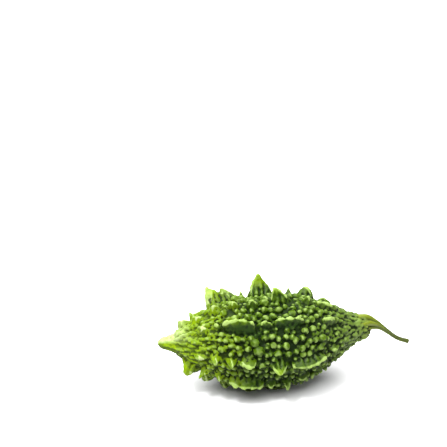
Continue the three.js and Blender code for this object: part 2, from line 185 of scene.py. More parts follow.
# The ten rows of crests: (roll angle, crests). A crest is (station of its middle, length, height,
# where its peak is from 0 to 1, lean of the peak along the fruit, degrees aside from its row).
ROWS = [
    (122, [
        (14.4, 5.4, 4.4, 0.25, 0, 0), (19.4, 3.6, 4.6, 0.4, 0.2, -3), (31.8, 11, 12, 0.14, 2.6, 0),
        (37.4, 8.6, 7.8, 0.25, 0, 2), (43.6, 2.6, 4.4, 0.5, 0, 0), (53, 12.4, 12.4, 0.38, 1, 0),
        (61.6, 3.6, 4, 0.5, 0, 0), (66.6, 3.4, 4.6, 0.5, 0, -3), (74.8, 8, 6, 0.5, 0, 0),
        (84, 6, 2.8, 0.5, 0, 0),
    ]),
    (85, [
        (20, 5, 3.6, 0.5, -0.5, 0), (28.5, 6, 4.4, 0.5, 0, 3), (37.5, 5, 4, 0.5, 0, 0),
        (46.4, 5.6, 4.8, 0.4, 0, -3), (61, 9, 8.4, 0.18, -0.6, 4), (73.2, 5, 4.4, 0.5, 0, 0),
        (82.4, 9, 3, 0.5, 0, -3),
    ]),
    (52, [
        (21.5, 5, 3.4, 0.5, -0.5, 0), (28, 3.6, 3.8, 0.5, 0, 0), (38.2, 13.4, 5.4, 0.5, 0, -5),
        (50.4, 7, 3.4, 0.5, 0, -3), (62, 13.2, 3.8, 0.6, 0, -3), (82.8, 7.2, 2.8, 0.5, 0, -3),
    ]),
    (-1, [
        (19.5, 5, 3.2, 0.5, -0.5, 0), (26, 4, 6, 0.5, 1, 5), (33.2, 4.6, 6.6, 0.5, 1, 4),
        (40.6, 8.4, 6, 0.7, 0, 4), (56, 8.6, 9.4, 0.4, 0, -2), (70.2, 15.4, 5.2, 0.5, 0, -3),
        (84.4, 5, 2.8, 0.5, 0, 0),
    ]),
    (-35, [
        (16.4, 8.6, 10, 0.3, 2.4, -20), (22.6, 3.4, 6, 0.4, -1, -2), (28.4, 4.4, 4.6, 0.5, 0, 3),
        (41, 15, 5.6, 0.4, 0, 4), (52.6, 5, 4.4, 0.5, 0, 0), (60.6, 4, 6.4, 0.5, 0, 0),
        (68.4, 6.6, 3.4, 0.5, 0, 2), (78, 6, 1.8, 0.5, 0, 0), (86, 4.6, 1.6, 0.5, 0, 0),
    ]),
    (-72, [
        (24.5, 5.6, 5, 0.5, -0.5, 3), (33, 6.6, 4.6, 0.5, 0, 0), (44.5, 10, 4.6, 0.5, 0, 0),
        (58, 11, 4.6, 0.5, 0, 0), (69.6, 6.4, 3.2, 0.5, 0, 0), (79, 6, 1.8, 0.5, 0, 0),
    ]),
    (-106, [
        (21, 5.6, 4.4, 0.5, -0.5, 0), (30.4, 7, 4.6, 0.5, 0, 0), (39.6, 6, 4.4, 0.5, 0, 0),
        (51.5, 12, 4.8, 0.5, 0, 0), (65.4, 9, 4.6, 0.5, 0, 0), (76.4, 6, 3.6, 0.5, 0, 0),
    ]),
    (-140, crests_by_draw(32, 6.6)),
    (-173, crests_by_draw(33, 7.4)),
    (155, crests_by_draw(34, 8.4)),
]

# The large round warts of the near side: (station, roll angle, radius, stretch along the fruit)
LARGE_WARTS = [
    (37, 22, 1.6, 1), (41.5, 20, 1.7, 1), (46.5, 17, 2.3, 1.3), (53.5, 24, 1.5, 1), (59.5, 21, 1.9, 1),
    (64.5, 27, 1.7, 1), (55.5, 12, 1.9, 1.1), (67.5, 15, 1.7, 1), (78, 24, 1.9, 1), (72.5, 13, 1.5, 1),
    (33.5, 12, 1.5, 1),
]


def smooth_curve(pairs):
    """A smooth function through (place, value) pairs, which takes numbers or arrays."""
    x = np.array([p[0] for p in pairs], float)
    y = np.array([p[1] for p in pairs], float)
    before = np.maximum(np.arange(len(x)) - 1, 0)
    after = np.minimum(np.arange(len(x)) + 1, len(x) - 1)
    slope = (y[after] - y[before]) / (x[after] - x[before])

    def at(place):
        place = np.asarray(place, float)
        i = np.clip(np.searchsorted(x, place, side="left") - 1, 0, len(x) - 2)
        width = x[i + 1] - x[i]
        t = np.clip((place - x[i]) / width, 0, 1)
        rise = 3 * t**2 - 2 * t**3
        return (
            y[i] * (1 - rise)
            + y[i + 1] * rise
            + slope[i] * width * (t**3 - 2 * t**2 + t)
            + slope[i + 1] * width * (t**3 - t**2)
        )

    return at


skin_curve = smooth_curve(SKIN)
pitch_curve = smooth_curve(WART_PITCH)


def turn_between(a, b):
    """The shorter way round from one roll angle to another, in degrees."""
    return (b - a + 180) % 360 - 180


def middle_height(station):
    """How high the fruit's middle line is above the table. Both ends rise a little."""
    share = (np.asarray(station, float) - BELLY_STATION) / BOW_REACH
    return BELLY_HEIGHT + BOW_RISE * ((share**2 + 0.01) ** 0.65 - 0.01**0.65)


def skin_radius(station, angle):
    """The bare body's radius, which swells under each row of crests."""
    radius = skin_curve(station)
    swell = 0
    for row, _ in ROWS:
        away = turn_between(row, np.asarray(angle, float)) / ROW_SWELL_WIDTH
        swell = swell + np.exp(-away * away)
    return radius * (1 + ROW_SWELL * swell / (radius + 6))


def place_above(station, angle, height, lean=0):
    """Points that stand a height above the skin, in metres, as an array of x, y, z rows."""
    station = np.asarray(station, float)
    slope = skin_curve(station + 0.5) - skin_curve(np.maximum(0, station - 0.5))
    out = 1 / np.hypot(1, slope)
    at = station - slope * out * height + lean
    radius = skin_radius(station, angle) + out * height
    roll = np.radians(angle)
    x = TIP_X + at
    y = PLANE_Y - radius * np.cos(roll)
    z = middle_height(at) + radius * np.sin(roll)
    return np.stack(np.broadcast_arrays(x, y, z), axis=-1) * MM


def crest_shape(share, peak, length, height):
    """How high a crest stands at a share of its length, as a share of its full height."""
    rise = np.where(share < peak, share / peak, (1 - share) / (1 - peak))
    return np.clip(rise, 0, 1) ** min(0.85, max(0.3, 0.75 * height / length))


def crest_half_width(height):
    """Half the width of a crest's foot."""
    return 0.5 * (3.2 + 0.22 * height)


def all_crests():
    """Every crest, as (roll angle, middle, length, height, peak, lean, tilt, slant)."""
    crests = []
    for row, row_crests in ROWS:
        for middle, length, height, peak, lean, aside in row_crests:
            tilt = ROW_TILT.get(row, 0)
            slant = ASLANT.get((row, middle), 0)
            crests.append((row + aside, middle, length, height, peak, lean, tilt, slant))
    return crests


# Helpers for modelling

def deselect_all():
    if bpy.context.object and bpy.context.object.mode != "OBJECT":
        bpy.ops.object.mode_set(mode="OBJECT")
    bpy.ops.object.select_all(action="DESELECT")


def select_only(obj):
    deselect_all()
    obj.select_set(True)
    bpy.context.view_layer.objects.active = obj


def points_of(obj):
    count = len(obj.data.vertices)
    flat = np.empty(count * 3)
    obj.data.vertices.foreach_get("co", flat)
    return flat.reshape(count, 3)


def set_points(obj, points):
    obj.data.vertices.foreach_set("co", np.asarray(points, float).ravel())
    obj.data.update()


def copies_of(template, placings, name):
    """One object of many copies of a template's mesh. Each placing is the points of one copy."""
    mesh = template.data
    corners = [list(face.vertices) for face in mesh.polygons]
    count = len(mesh.vertices)
    faces = [[c + i * count for c in face] for i in range(len(placings)) for face in corners]
    made = bpy.data.meshes.new(name)
    made.from_pydata(np.concatenate(placings).tolist(), [], faces)
    made.update()
    obj = bpy.data.objects.new(name, made)
    bpy.context.collection.objects.link(obj)
    return obj


def apply_modifier(obj, kind, **settings):
    modifier = obj.modifiers.new(kind.title(), kind)
    for key, value in settings.items():
        setattr(modifier, key, value)
    select_only(obj)
    bpy.ops.object.modifier_apply(modifier=modifier.name)


def remove(obj):
    mesh = obj.data
    bpy.data.objects.remove(obj)
    bpy.data.meshes.remove(mesh)


def keep_outer_shell(obj):
    """Deletes the small closed pockets inside, which the joined pieces leave between them."""
    select_only(obj)
    highest = int(np.argmax(points_of(obj)[:, 2]))
    bpy.ops.object.mode_set(mode="EDIT")
    bpy.ops.mesh.select_mode(type="VERT")
    bpy.ops.mesh.select_all(action="DESELECT")
    bpy.ops.object.mode_set(mode="OBJECT")
    obj.data.vertices[highest].select = True
    bpy.ops.object.mode_set(mode="EDIT")
    bpy.ops.mesh.select_linked()
    bpy.ops.mesh.select_all(action="INVERT")
    bpy.ops.mesh.delete(type="VERT")
    bpy.ops.object.mode_set(mode="OBJECT")


def unit_tube(name, sides, rings):
    """A closed tube of the given sides along X from 0 to 1, to be shaped by its points' places."""
    deselect_all()
    bpy.ops.mesh.primitive_circle_add(
        vertices=sides, radius=1, fill_type="NGON", rotation=(0, math.pi / 2, 0), location=(0, 0, 0)
    )
    tube = bpy.context.object
    tube.name = name
    bpy.ops.object.transform_apply(location=True, rotation=True, scale=True)
    bpy.ops.object.mode_set(mode="EDIT")
    bpy.ops.mesh.select_all(action="SELECT")
    for _ in range(rings - 1):
        bpy.ops.mesh.extrude_region_move(TRANSFORM_OT_translate={"value": (1 / (rings - 1), 0, 0)})
    bpy.ops.mesh.select_all(action="SELECT")
    bpy.ops.mesh.normals_make_consistent(inside=False)
    bpy.ops.object.mode_set(mode="OBJECT")
    return tube


# The fruit

def body_points(tube):
    """The bare body: rings round the middle line, drawn in at both ends, with streaks by the tip."""
    points = points_of(tube)
    share = np.clip(points[:, 0], 0, 1)
    angle = np.degrees(np.arctan2(points[:, 2], -points[:, 1]))
    station = 0.25 + share * (BODY_LENGTH + 2.6)
    radius_scale = np.sqrt(np.clip((BODY_LENGTH + 3 - station) / 3.4, 0.02, 1))
    tip_scale = np.sqrt(np.clip((station + 0.2) / 1.4, 0.02, 1))
    roll = np.radians(angle)
    radius = skin_radius(np.minimum(station, BODY_LENGTH), angle) * radius_scale * tip_scale
    streaks = np.cos(11 * roll + 0.4 * np.sin(0.5 * station)) + 0.6 * np.cos(7 * roll + 1)
    radius = radius + 0.22 * streaks * np.clip((station - 2) / 6, 0, 1) * np.clip((26 - station) / 8, 0, 1)
    droop = 1.5 * np.clip((station - 98) / 8, 0, 1)
    x = TIP_X + station
    y = PLANE_Y - radius * np.cos(roll)
    z = middle_height(station) - droop + radius * np.sin(roll)
    return np.stack([x, y, z], axis=-1) * MM


def crest_top(share, crest):
    """The height of a crest's edge at a share of its length, its peak a little rounded."""
    _, _, length, height, peak, _, _, _ = crest
    steps = (-0.1, -0.06, -0.03, 0, 0.03, 0.06, 0.1)
    shape = sum(crest_shape(share + step, peak, length, height) for step in steps) / len(steps)
    if length > LEVEL_CREST * height:
        shape = shape**0.3
    return 1.04 * height * shape


def crest_points(unit, crest, index):
    """One crest's points: its foot sunk in the skin, its flanks hollow and ribbed, its edge thin."""
    angle, middle, length, height, _, lean, tilt, slant = crest
    points = points_of(unit)
    share = np.clip(points[:, 0], 0, 1)
    round_way = np.arctan2(points[:, 2], points[:, 1])
    across = np.cos(round_way)
    lift = 0.5 + 0.5 * np.sin(round_way)
    phase = 6.28 * draw(index, 51)
    top = np.maximum(crest_top(share, crest), 0.2)
    ragged = np.sin(1.7 * share * length + phase) + 0.35 * np.sin(3.9 * share * length + 2 * phase)
    top = top * (1 + (0.06 if length > 2 * height else 0.03) * ragged)
    tall = -CREST_SUNK + (top + CREST_SUNK) * lift
    ends = np.sin(np.pi * np.clip(share, 0.04, 0.96)) ** 0.45
    foot = crest_half_width(height) * (1.3 if length > 7 else 1.1)
    rib_depth = 0.12 if tilt > LEDGE_TILT else 0.32
    ribs = 1 + rib_depth * np.sin(2.6 * share * length + phase + 1.3 * (across > 0))
    reach = foot * ends * ribs * (1 - lift) ** 1.5 + 0.45 * (1 + 0.5 * (1 - lift))
    sway = (0.05 * height + 0.15) * lift**1.5 * np.sin(2.2 + 4 * share + 6.28 * draw(index, 52))
    sway = sway + tilt * top * lift**2
    side = np.sign(across) * reach * np.minimum(1, np.abs(across) * 2.4) + sway
    along = (share - 0.5) * (length + 0.8)
    turn = np.degrees(side / skin_curve(middle)) + slant * along
    return place_above(middle + along, angle + turn, tall, lean * np.clip(tall / height, 0, 1))


def wart_layout():
    """All the round warts, as (station, roll angle, radius, height, stretch)."""
    feet = []
    for angle, middle, length, height, _, _, _, slant in all_crests():
        steps = max(3, round(length / 1.5))
        along = (np.arange(steps) / (steps - 1) - 0.5) * length
        foot = place_above(middle + along, angle + slant * along, 0)
        feet.append((foot / MM, crest_half_width(height)))
    foot_places = np.concatenate([places for places, _ in feet])
    foot_reach = np.concatenate([np.full(len(places), reach) for places, reach in feet])

    # A wart is left out where it would stand on a crest's foot or too far into another wart.
    warts = []
    places = np.zeros((6000, 4))

    def add(station, angle, radius, height, stretch, spacing, foot=0.85):
        place = place_above(station, angle, 0) / MM
        gap = np.linalg.norm(foot_places - place, axis=1)
        if (gap < foot_reach * foot + 0.5 * radius).any():
            return
        others = places[: len(warts)]
        if (np.linalg.norm(others[:, :3] - place, axis=1) < spacing * (others[:, 3] + radius)).any():
            return
        places[len(warts)] = (*place, radius)
        warts.append((station, angle, radius, height, stretch))

    for station, angle, radius, stretch in LARGE_WARTS:
        add(station, angle, radius, 1.5 * radius, stretch, 0.7)

    def column(angle, seed, fits):
        station = WARTS_FROM + 3 * draw(seed, 1)
        i = 0
        while station < WARTS_TO:
            key = seed * 100 + i
            pitch = float(pitch_curve(station)) * (0.8 + 0.4 * draw(key, 2))
            if fits(station):
                wander = 0.46 * pitch * (2 * draw(key, 3) - 1) / float(skin_curve(station))
                radius = 0.5 * float(pitch_curve(station)) * (0.8 + 0.5 * draw(key, 4))
                tall = 1.25 + 0.35 * draw(key, 5)
                slim = min(1, max(0, (28 - station) / 14))
                drawn_out = min(1, max(0, (station - 84) / 10))
                stretch = 1 + 1.1 * slim + 0.9 * drawn_out + 0.25 * draw(key, 6)
                radius *= 1 - 0.15 * drawn_out
                height = radius * (tall - 0.35 * slim)
                add(station, angle + math.degrees(wander), radius, height, stretch, 0.74)
            station += pitch
            i += 1

    for k, (row, _) in enumerate(ROWS):
        column(row, 40 * k + 1, lambda station: True)
        gap = turn_between(row, ROWS[(k + 1) % len(ROWS)][0])

        def columns_at(station):
            arc = abs(math.radians(gap)) * float(skin_curve(station))
            return min(5, round(arc / float(pitch_curve(station)) - 0.65))

        for count in range(1, 6):
            for i in range(1, count + 1):
                angle = row + gap * i / (count + 1)
                column(angle, 40 * k + 5 * count + i, lambda station: columns_at(station) == count)

    # Smaller beads in the room that is left
    for size, tries in SMALL_BEADS:
        for i in range(tries):
            key = i + 10000 * size
            station = 10 + 94 * draw(key, 61)
            if draw(key, 62) > float(skin_curve(station)) / 20.5 + 0.1:
                continue
            radius = size * float(pitch_curve(station)) * (0.85 + 0.3 * draw(key, 63))
            add(station, 360 * draw(key, 65), radius, 1.25 * radius, 1.1, 0.8, 0.4)
    return warts


def wart_points(bead, wart, index):
    """One wart's points: a bead whose lower part is sunk in the skin. Large warts are more
    pointed towards the tip, and all stand out more on the low side of the stem's half."""
    station, angle, radius, height, stretch = wart
    unit = points_of(bead)
    point = (0.3 + 0.7 * draw(index, 72)) * (1.2 - 0.014 * station) * (radius > 0.8)
    low_side = math.exp(-((turn_between(-52, angle) / 26) ** 2)) * min(1, max(0, (station - 55) / 12))
    point = max(point, 0.9 * low_side)
    height = height * (1 + 0.4 * low_side)
    lift = np.clip(unit[:, 2] + 0.2, 0, 1.2)
    slim = 1 - 0.42 * point * lift
    along = unit[:, 0] * radius * stretch * slim - 0.5 * point * radius * lift
    across = unit[:, 1] * radius * slim * (0.85 + 0.3 * draw(index, 73))
    up = height - radius + unit[:, 2] * radius * (1 + 0.45 * point * (unit[:, 2] > 0))
    turn = np.degrees(across / float(skin_curve(min(station, BODY_LENGTH))))
    return place_above(station + along, angle + turn, up, 0.3 * (draw(index, 71) - 0.5) * unit[:, 2])


def skin_record(obj):
    """Gives the skin's points what the material reads, each as a number:
    along, the place along the fruit; relief, how far the point stands out of the bare body;
    rim and depth, how sharp or how sunk the surface is there; edge, how near a crest's edge is;
    face, how much the point is on a crest's flank; side, how high it is round the fruit; and
    facing, how far it faces up."""
    mesh = obj.data
    points = points_of(obj)
    station = points[:, 0] / MM - TIP_X
    y = points[:, 1] / MM - PLANE_Y
    z = points[:, 2] / MM - middle_height(station)
    angle = np.degrees(np.arctan2(z, -y))
    bare = skin_radius(np.clip(station, 0, BODY_LENGTH), angle)
    relief = np.hypot(y, z) - bare

    edges = np.empty(len(mesh.edges) * 2, int)
    mesh.edges.foreach_get("vertices", edges)
    a, b = edges.reshape(-1, 2).T
    normals = np.empty(len(points) * 3)
    mesh.vertices.foreach_get("normal", normals)
    normals = normals.reshape(-1, 3)
    degree = np.bincount(a, minlength=len(points)) + np.bincount(b, minlength=len(points))

    def spread(values):
        total = np.bincount(a, values[b], len(points)) + np.bincount(b, values[a], len(points))
        return total / np.maximum(degree, 1)

    around = np.stack([spread(points[:, k]) for k in range(3)], axis=-1)
    hollow = ((around - points) * normals).sum(axis=1) / MM
    for _ in range(3):
        hollow = 0.4 * hollow + 0.6 * spread(hollow)
    wide = points.copy()
    for _ in range(10):
        wide = np.stack([0.3 * wide[:, k] + 0.7 * spread(wide[:, k]) for k in range(3)], axis=-1)
    depth = ((wide - points) * normals).sum(axis=1) / MM

    edge = np.zeros(len(points))
    face = np.zeros(len(points))
    for crest in all_crests():
        row_angle, middle, length, height, _, lean, tilt, slant = crest
        near = np.abs(station - middle - lean * 0.5) < 0.5 * length + 3
        share = np.clip((station[near] - middle - lean * 0.7) / length + 0.5, 0.02, 0.98)
        turn = turn_between(row_angle + slant * (station[near] - middle), angle[near])
        aside = np.radians(turn) * (bare[near] + relief[near])
        top = crest_top(share, crest)
        aside = aside - tilt * top * np.clip(relief[near] / top, 0, 1) ** 2
        band = 0.75 if tilt > LEDGE_TILT else 0.6 + 0.14 * height
        value = np.clip(1 - (top - relief[near]) / band, 0, 1) * (np.abs(aside) < 1.8) * (top > 2.4)
        edge[near] = np.maximum(edge[near], value)
        below = np.clip((top - relief[near] - 0.5) / 1.2, 0, 1) * np.clip(relief[near] / 0.8, 0, 1)
        value = below * (np.abs(aside) < 3) * (top > 3) * (1 if tilt > LEDGE_TILT else 0.15)
        face[near] = np.maximum(face[near], value)

    for name, values in (
        ("along", np.clip(station / BODY_LENGTH, 0, 1.05)),
        ("relief", np.clip(relief / 4, -0.5, 3)),
        ("rim", np.clip(-hollow / 0.12, 0, 1)),
        ("depth", np.clip(depth / (0.13 * pitch_curve(np.clip(station, 0, BODY_LENGTH))), -1, 1)),
        ("edge", edge),
        ("face", face),
        ("side", np.sin(np.radians(angle))),
        ("facing", normals[:, 2]),
    ):
        attribute = mesh.attributes.new(name, "FLOAT", "POINT")
        attribute.data.foreach_set("value", values.astype(np.float32))


# Materials

DRY_CUT = (0.2, 0.19, 0.07)
FLOOR_GREY = (0.78, 0.78, 0.79)


class Nodes:
    """A material's node tree, with short ways to add and join nodes."""

    def __init__(self, name):
        self.material = bpy.data.materials.new(name)
        self.material.use_nodes = True
        self.tree = self.material.node_tree
        self.shader = self.tree.nodes["Principled BSDF"]
        self.across = -1800

    def add(self, kind, **values):
        node = self.tree.nodes.new(kind)
        node.location = (self.across, 0)
        self.across += 60
        for key, value in values.items():
            setattr(node, key, value)
        return node

    def join(self, source, target):
        self.tree.links.new(source, target)

    def attribute(self, name):
        return self.add("ShaderNodeAttribute", attribute_name=name).outputs["Fac"]

    def math(self, operation, a, b, clamp=False):
        node = self.add("ShaderNodeMath", operation=operation, use_clamp=clamp)
        for socket, value in zip(node.inputs, (a, b)):
            if hasattr(value, "is_output"):
                self.join(value, socket)
            else:
                socket.default_value = value
        return node.outputs[0]

    def span(self, value, low, high, to_low=0.0, to_high=1.0):
        node = self.add("ShaderNodeMapRange", interpolation_type="SMOOTHSTEP")
        self.join(value, node.inputs["Value"])
        for key, number in zip(("From Min", "From Max", "To Min", "To Max"), (low, high, to_low, to_high)):
            node.inputs[key].default_value = number
        return node.outputs["Result"]

    def mix(self, factor, a, b):
        node = self.add("ShaderNodeMix", data_type="RGBA")
        sockets = [s for s in node.inputs if s.enabled]
        for socket, value in zip(sockets, (factor, a, b)):
            if hasattr(value, "is_output"):
                self.join(value, socket)
            elif isinstance(value, (int, float)):
                socket.default_value = value
            else:
                socket.default_value = (*value, 1)
        return next(s for s in node.outputs if s.enabled)

    def noise(self, scale, detail=3, roughness=0.55):
        place = self.add("ShaderNodeTexCoord").outputs["Object"]
        node = self.add("ShaderNodeTexNoise")
        self.join(place, node.inputs["Vector"])
        node.inputs["Scale"].default_value = scale
        node.inputs["Detail"].default_value = detail
        node.inputs["Roughness"].default_value = roughness
        return node.outputs["Fac"]

    def bump(self, height, distance, strength):
        node = self.add("ShaderNodeBump")
        node.inputs["Distance"].default_value = distance
        node.inputs["Strength"].default_value = strength
        self.join(height, node.inputs["Height"])
        self.join(node.outputs["Normal"], self.shader.inputs["Normal"])

    def set(self, **values):
        for key, value in values.items():
            self.shader.inputs[key.replace("_", " ")].default_value = value


def skin_material(colours):
    """Green with painted highlights on warts, rims and crest edges, painted shade between the warts, on
    crest faces and underneath, and yellowing at the tip.
    """
    n = Nodes("waxy gourd skin")
    along = n.attribute("along")
    relief = n.attribute("relief")
    rim = n.attribute("rim")
    depth = n.attribute("depth")
    edge = n.attribute("edge")
    facing = n.attribute("facing")
    patches = n.noise(90)
    mottle = n.noise(420)
    tint = n.noise(250, 1)

    # Green from the tip to the stem, with a patchy change and paler mottling
    wander = n.math("ADD", along, n.math("MULTIPLY", n.math("SUBTRACT", patches, 0.5), 0.25))
    body = n.mix(n.span(wander, 0.14, 0.46), tuple(colours.tip_colour), tuple(colours.middle_colour))
    body = n.mix(n.span(wander, 0.55, 0.95), body, tuple(colours.shoulder_colour))
    body = n.mix(n.span(mottle, 0.45, 0.75, 0, 0.25), body, tuple(colours.pale_and_highlight_colour))
    body = n.mix(n.span(tint, 0.52, 0.75, 0, 0.35), body, tuple(colours.pale_and_highlight_colour))

    # Painted highlight on the tops of warts and on upward faces, painted shade on downward faces
    body = n.mix(n.span(depth, -0.15, -0.85, 0, 0.57), body, tuple(colours.pale_and_highlight_colour))
    body = n.mix(n.span(facing, 0.3, 1.0, 0, 0.24), body, tuple(colours.pale_and_highlight_colour))
    body = n.mix(n.span(facing, 0.4, -0.55, 0, 0.8), body, tuple(colours.valley_shade_colour))

    # Painted highlight on sharp rims and crest edges, painted shade on the crests' faces
    body = n.mix(n.span(rim, 0.45, 0.95, 0, 0.55), body, tuple(colours.highlight_and_olive_colour))
    # Painted shade on crest faces, full on the undersides of the leaning ledges
    face = n.math("MULTIPLY", n.attribute("face"), 0.85)
    body = n.mix(face, body, tuple(colours.crest_face_shade_colour))
    body = n.mix(n.span(edge, 0.45, 0.95, 0, 0.85), body, tuple(colours.highlight_and_olive_colour))

    # A whitish painted highlight on the upper side of the tip and on the edges of the crests near it
    upper_tip_highlight = n.math("MULTIPLY", n.span(n.attribute("side"), 0.35, 0.85), n.span(along, 0.17, 0.06))
    upper_tip_highlight = n.math("MULTIPLY", upper_tip_highlight, n.span(mottle, 0.4, 0.58, 0.6, 1.0))
    body = n.mix(upper_tip_highlight, body, tuple(colours.tip_highlight_colour))
    tip_edge_highlight = n.math("MULTIPLY", n.span(edge, 0.25, 0.8), n.span(along, 0.36, 0.14, 0, 0.85))
    body = n.mix(tip_edge_highlight, body, tuple(colours.tip_highlight_colour))

    # Paler and more olive towards the stem
    body = n.mix(n.span(along, 0.78, 1.0, 0, 0.3), body, tuple(colours.highlight_and_olive_colour))
    body = n.mix(n.span(along, 0.94, 1.02, 0, 0.5), body, tuple(colours.stem_colour))

    # Yellower where the skin stands far out; painted shade in the valleys and on the low bare skin, less
    # on tall parts
    tall = n.span(relief, 1.1, 2.1)
    body = n.mix(n.math("MULTIPLY", tall, 0.5), body, tuple(colours.tip_colour))
    low = n.math("MULTIPLY", n.span(relief, 0.35, 0.0), n.span(along, 0.08, 0.3), clamp=True)
    dark = n.math("MAXIMUM", n.span(depth, 0.0, 0.5, 0, 0.92), n.math("MULTIPLY", low, 0.85))
    dark = n.math("MULTIPLY", dark, n.span(along, 0.02, 0.3, 0.35, 1.0))
    dark = n.math("MULTIPLY", dark, n.span(relief, 1.1, 2.1, 1.0, 0.45))
    body = n.mix(dark, body, tuple(colours.valley_shade_colour))
    n.join(body, n.shader.inputs["Base Color"])

    # Waxy, and duller where shade is painted: in the valleys, on the crest faces and underneath
    dull = n.math("MAXIMUM", n.math("MAXIMUM", dark, face), n.span(facing, 0.3, -0.4, 0, 0.9))
    gloss = n.math("MAXIMUM", n.span(mottle, 0.3, 0.7, 0.28, 0.42), n.math("MULTIPLY", dull, 0.8))
    n.join(gloss, n.shader.inputs["Roughness"])
    n.bump(n.noise(1500, 4, 0.6), 0.00012, 0.6)
    n.set(Subsurface_Weight=0.04, Subsurface_Scale=0.001, Subsurface_Radius=(0.6, 1.0, 0.25))
    n.set(Coat_Weight=0.03, Coat_Roughness=0.2, Specular_IOR_Level=0.085)
    return n.material


def stem_material(colours):
    """Olive at the fruit and darker towards the free end, with painted shade in its grooves and a dry cut.
    """
    n = Nodes("ribbed green stem")
    along = n.attribute("along")
    groove = n.attribute("groove")
    mottle = n.noise(500)
    body = n.mix(n.span(along, 0.1, 0.75), tuple(colours.stem_colour), tuple(colours.stem_end_colour))
    body = n.mix(n.span(mottle, 0.3, 0.75, 0, 0.25), body, tuple(colours.stem_pale_colour))
    # Painted shade in the grooves
    body = n.mix(n.math("MULTIPLY", groove, 0.85), body, tuple(colours.stem_groove_shade_colour))
    body = n.mix(n.span(along, 0.985, 1.0, 0, 0.6), body, DRY_CUT)
    n.join(body, n.shader.inputs["Base Color"])
    n.join(n.span(mottle, 0.3, 0.7, 0.42, 0.58), n.shader.inputs["Roughness"])
    n.set(Specular_IOR_Level=0.22)
    n.bump(n.noise(1800, 3), 0.00008, 0.6)
    n.set(Subsurface_Weight=0.08, Subsurface_Scale=0.002, Subsurface_Radius=(0.6, 1.0, 0.25))
    return n.material


# Settings

class GourdSizes(bpy.types.PropertyGroup):
    voxel: bpy.props.FloatProperty(
        name="Skin Cell",
        description="Side of the cells that the warts, crests and body are joined with",
        default=0.00035,
        min=0.0002,
        max=0.002,
        precision=5,
        unit="LENGTH",
        subtype="DISTANCE",
    )
    most_triangles: bpy.props.IntProperty(
        name="Most Triangles",
        description="The skin is thinned to this many triangles",
        default=190000,
        min=20000,
        max=199000,
    )
    stem_rib_depth: bpy.props.FloatProperty(
        name="Rib Depth",
        description="How deep the grooves of the stem are, as a share of its radius",
        default=0.18,
        min=0,
        max=0.3,
        subtype="FACTOR",
    )


def colour_property(name, description, default):
    return bpy.props.FloatVectorProperty(
        name=name, description=description, subtype="COLOR", size=3, min=0, max=1, default=default
    )


class GourdColours(bpy.types.PropertyGroup):
    tip_colour: colour_property("Tip", "Yellow-green of the blossom end", (0.168, 0.262, 0.0008))
    middle_colour: colour_property("Middle", "Green of the belly", (0.0155, 0.036, 0.0006))
    shoulder_colour: colour_property("Shoulder", "Darker green near the stem", (0.042, 0.066, 0.009))
    # Paler green for mottling, also the painted highlight on wart tops and upward faces
    pale_and_highlight_colour: colour_property("Wart Tops", "Paler green of the tops of warts", (0.064, 0.118, 0.004))
    # Painted highlight on rims and crest edges, also the paler olive towards the stem
    highlight_and_olive_colour: colour_property("Crest Edges", "Pale edges of the crests", (0.24, 0.34, 0.085))
    # Painted shade on the faces of the crests
    crest_face_shade_colour: colour_property("Crest Faces", "Dark green of the faces of crests", (0.008, 0.025, 0.001))
    # Painted highlight on the tip's upper side and on the crest edges near it
    tip_highlight_colour: colour_property("Tip Top", "Whitish upper side of the blossom tip", (0.31, 0.38, 0.15))
    # Painted shade in the valleys and on downward faces
    valley_shade_colour: colour_property("Valleys", "Dark green between the warts", (0.003, 0.01, 0.0004))
    stem_colour: colour_property("Stem", "Olive of the stem at the fruit", (0.11, 0.145, 0.003))
    stem_end_colour: colour_property("Stem End", "Darker green of its free end", (0.034, 0.045, 0.004))
    stem_pale_colour: colour_property("Stem Flecks", "Paler flecks of the stem", (0.17, 0.21, 0.015))
    # Painted shade in the stem's grooves
    stem_groove_shade_colour: colour_property("Stem Grooves", "Dark of its grooves", (0.025, 0.04, 0.004))


class GourdStage(bpy.types.PropertyGroup):
    azimuth: bpy.props.FloatProperty(
        name="Azimuth",
        description="Direction that the gourd is seen from, round the upright axis",
        default=math.radians(-12.3),
        subtype="ANGLE",
        unit="ROTATION",
    )
    elevation: bpy.props.FloatProperty(
        name="Elevation",
        description="Direction that the gourd is seen from, above the level",
        default=math.radians(30),
        subtype="ANGLE",
        unit="ROTATION",
    )
    distance: bpy.props.FloatProperty(
        name="Distance",
        description="From the camera to the gourd",
        default=0.9,
        min=0.2,
        unit="LENGTH",
        subtype="DISTANCE",
    )
    key_power: bpy.props.FloatProperty(
        name="Key Light", description="Power of the large soft light", default=35.0, min=0, unit="POWER"
    )
    sky: bpy.props.FloatProperty(
        name="Surround", description="Strength of the white surround", default=0.25, min=0
    )


# Operators

class GOURD_OT_body(bpy.types.Operator):
    """Model the bare spindle-shaped body of the fruit"""

    bl_idname = "gourd.body"
    bl_label = "Body"

    def execute(self, context):
        tube = unit_tube("gourd_body", 64, 90)
        set_points(tube, body_points(tube))
        return {"FINISHED"}


class GOURD_OT_crests(bpy.types.Operator):
    """Model one crest, and copy it along the ten rows with each copy's own length and height"""

    bl_idname = "gourd.crests"
    bl_label = "Crests"

    def execute(self, context):
        unit = unit_tube("crest_unit", 20, 31)
        placings = [crest_points(unit, crest, i) for i, crest in enumerate(all_crests())]
        copies_of(unit, placings, "gourd_crests")
        remove(unit)
        return {"FINISHED"}


class GOURD_OT_warts(bpy.types.Operator):
    """Model one round wart, and copy it over the skin between the crests"""

    bl_idname = "gourd.warts"
    bl_label = "Warts"

    def execute(self, context):
        deselect_all()
        bpy.ops.mesh.primitive_ico_sphere_add(subdivisions=2, radius=1, location=(0, 0, 0))
        bead = bpy.context.object
        placings = [wart_points(bead, wart, i) for i, wart in enumerate(wart_layout())]
        copies_of(bead, placings, "gourd_warts")
        remove(bead)
        return {"FINISHED"}


